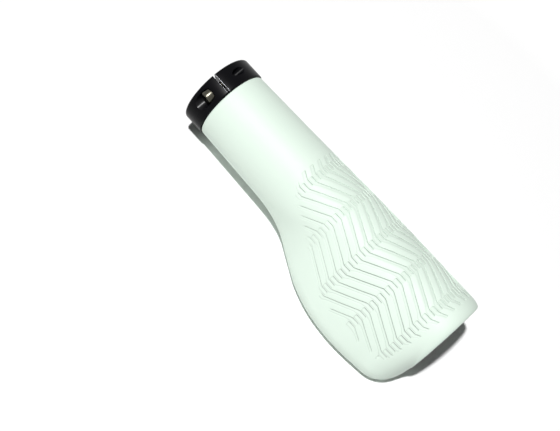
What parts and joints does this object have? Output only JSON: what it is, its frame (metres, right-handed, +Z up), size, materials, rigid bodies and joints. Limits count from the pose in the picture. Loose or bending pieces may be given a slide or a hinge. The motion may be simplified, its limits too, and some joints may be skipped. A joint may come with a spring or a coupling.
{
  "type": "handlebar grip",
  "caption": "Ergonomic rubber grip for a flat bicycle handlebar, with a palm wing, chevron tread, split clamp ring and closed end cap.",
  "frame": {"origin": "middle of the bounding box's underside, with the grip lying as it rests on a table", "axes": "+X along the handlebar from the clamp ring to the outer end, +Z up, the palm wing towards -Y"},
  "size_m": [0.1396, 0.0518, 0.0385],
  "materials": {
    "sleeve_rubber": "satin, very pale mint, finely grained",
    "core_plastic": "matte black nylon",
    "ring_metal": "gloss black anodised, bare metal in the slit",
    "screw_steel": "nickel plated",
    "cap_plastic": "satin dark grey",
    "disc_plastic": "matte mid grey"
  },
  "bodies": {
    "root": {"rubber_sleeve": "sleeve_rubber", "core_tube": "core_plastic", "clamp_ring": "ring_metal", "clamp_screw": "screw_steel", "end_cap": "cap_plastic", "end_cap_disc": "disc_plastic"}
  },
  "joints": []
}
